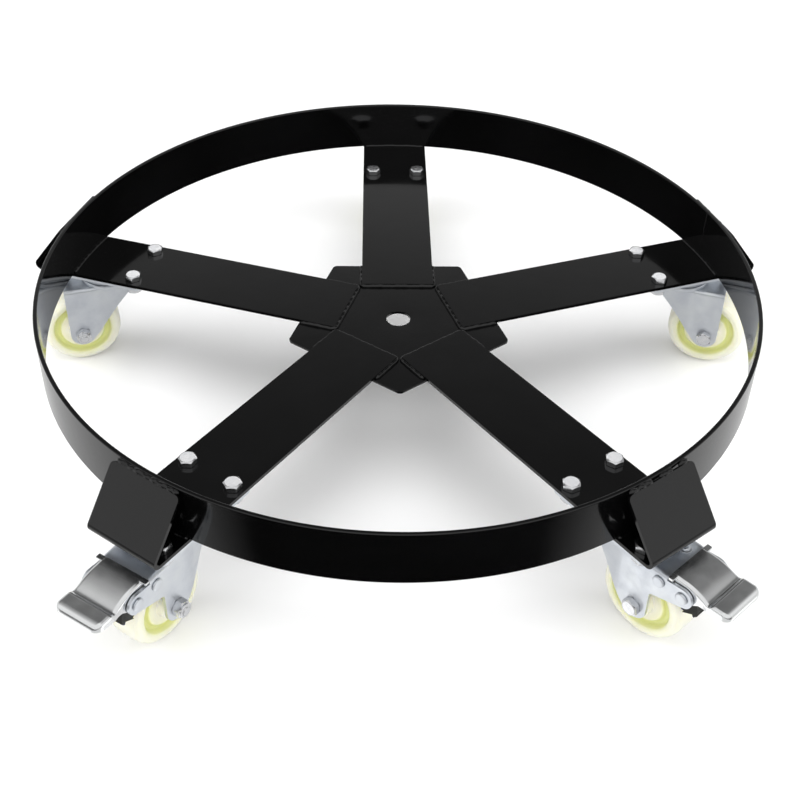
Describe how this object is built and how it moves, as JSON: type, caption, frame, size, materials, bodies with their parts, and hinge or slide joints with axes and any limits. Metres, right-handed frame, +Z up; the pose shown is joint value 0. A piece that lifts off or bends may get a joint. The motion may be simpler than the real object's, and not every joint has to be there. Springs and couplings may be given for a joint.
{
  "type": "drum dolly",
  "caption": "Low round dolly for a drum: a steel hoop welded to radial arms over a central plate, on swivel casters with nylon wheels, the front casters with foot brakes.",
  "frame": {"origin": "centre of the middle hole, on the face of the centre plate that the arms lie on", "axes": "+Z up towards the drum, +Y along the back arm, the two braked casters at the front on -Y"},
  "size_m": [0.6758, 0.6803, 0.1505],
  "materials": {
    "black_paint": "high gloss black enamel",
    "zinc_plate": "satin blue-white zinc plate",
    "bright_plate": "bright nickel plate",
    "bright_steel": "bright plated fasteners",
    "nylon": "milky moulded nylon",
    "black_plastic": "moulded black"
  },
  "bodies": {
    "frame": {"hoop": "black_paint", "centre_plate": "black_paint", "mounting_bolts": "bright_steel", "mounting_nuts": "bright_steel", "arm_back": "black_paint", "arm_left": "black_paint", "arm_front_left": "black_paint", "arm_front_right": "black_paint", "arm_right": "black_paint", "top_plate_back": "zinc_plate", "top_plate_left": "zinc_plate", "top_plate_front_left": "zinc_plate", "top_plate_front_right": "zinc_plate", "top_plate_right": "zinc_plate", "kingpin_back": "zinc_plate", "kingpin_left": "zinc_plate", "kingpin_front_left": "zinc_plate", "kingpin_front_right": "zinc_plate", "kingpin_right": "zinc_plate"},
    "caster_back": {"fork_back": "zinc_plate", "swivel_balls_back": "bright_steel", "axle_bolt_back": "bright_steel", "axle_nut_back": "bright_steel", "axle_sleeve_back": "zinc_plate"},
    "wheel_back": {"wheel_back": "nylon"},
    "caster_left": {"fork_left": "zinc_plate", "swivel_balls_left": "bright_steel", "axle_bolt_left": "bright_steel", "axle_nut_left": "bright_steel", "axle_sleeve_left": "zinc_plate"},
    "wheel_left": {"wheel_left": "nylon"},
    "caster_front_left": {"fork_front_left": "zinc_plate", "swivel_balls_front_left": "bright_steel", "axle_bolt_front_left": "bright_steel", "axle_nut_front_left": "bright_steel", "axle_sleeve_front_left": "zinc_plate", "brake_pins_front_left": "bright_steel", "brake_spring_front_left": "zinc_plate"},
    "wheel_front_left": {"wheel_front_left": "nylon"},
    "brake_front_left": {"brake_pedal_front_left": "bright_plate", "brake_shoe_front_left": "black_plastic"},
    "caster_front_right": {"fork_front_right": "zinc_plate", "swivel_balls_front_right": "bright_steel", "axle_bolt_front_right": "bright_steel", "axle_nut_front_right": "bright_steel", "axle_sleeve_front_right": "zinc_plate", "brake_pins_front_right": "bright_steel", "brake_spring_front_right": "zinc_plate"},
    "wheel_front_right": {"wheel_front_right": "nylon"},
    "brake_front_right": {"brake_pedal_front_right": "bright_plate", "brake_shoe_front_right": "black_plastic"},
    "caster_right": {"fork_right": "zinc_plate", "swivel_balls_right": "bright_steel", "axle_bolt_right": "bright_steel", "axle_nut_right": "bright_steel", "axle_sleeve_right": "zinc_plate"},
    "wheel_right": {"wheel_right": "nylon"}
  },
  "joints": [
    {"name": "swivel_back", "type": "hinge", "parent": "frame", "child": "caster_back", "pos_m": [0, 0.283, -0.013], "axis": [0, 0, 1], "continuous": true},
    {"name": "wheel_spin_back", "type": "hinge", "parent": "caster_back", "child": "wheel_back", "pos_m": [0, 0.316, -0.0635], "axis": [-1, 0, 0], "continuous": true},
    {"name": "swivel_left", "type": "hinge", "parent": "frame", "child": "caster_left", "pos_m": [-0.26915, 0.08745, -0.013], "axis": [0, 0, 1], "continuous": true},
    {"name": "wheel_spin_left", "type": "hinge", "parent": "caster_left", "child": "wheel_left", "pos_m": [-0.30087, 0.07836, -0.0635], "axis": [0.2756, -0.9613, 0], "continuous": true},
    {"name": "swivel_front_left", "type": "hinge", "parent": "frame", "child": "caster_front_left", "pos_m": [-0.16634, -0.22895, -0.013], "axis": [0, 0, 1], "continuous": true},
    {"name": "wheel_spin_front_left", "type": "hinge", "parent": "caster_front_left", "child": "wheel_front_left", "pos_m": [-0.18446, -0.25653, -0.0635], "axis": [0.8358, -0.549, 0], "continuous": true},
    {"name": "brake_front_left", "type": "hinge", "parent": "caster_front_left", "child": "brake_front_left", "pos_m": [-0.20505, -0.28788, -0.0237], "axis": [0.8358, -0.549, 0], "range_deg": [0, 11], "stiffness_Nm_per_rad": 0.6, "springref_deg": -14.32},
    {"name": "swivel_front_right", "type": "hinge", "parent": "frame", "child": "caster_front_right", "pos_m": [0.16634, -0.22895, -0.013], "axis": [0, 0, 1], "continuous": true},
    {"name": "wheel_spin_front_right", "type": "hinge", "parent": "caster_front_right", "child": "wheel_front_right", "pos_m": [0.18843, -0.25348, -0.0635], "axis": [0.7431, 0.6691, 0], "continuous": true},
    {"name": "brake_front_right", "type": "hinge", "parent": "caster_front_right", "child": "brake_front_right", "pos_m": [0.21352, -0.28134, -0.0237], "axis": [0.7431, 0.6691, 0], "range_deg": [0, 11], "stiffness_Nm_per_rad": 0.6, "springref_deg": -14.32},
    {"name": "swivel_right", "type": "hinge", "parent": "frame", "child": "caster_right", "pos_m": [0.26915, 0.08745, -0.013], "axis": [0, 0, 1], "continuous": true},
    {"name": "wheel_spin_right", "type": "hinge", "parent": "caster_right", "child": "wheel_right", "pos_m": [0.30035, 0.07671, -0.0635], "axis": [0.3256, 0.9455, 0], "continuous": true}
  ]
}
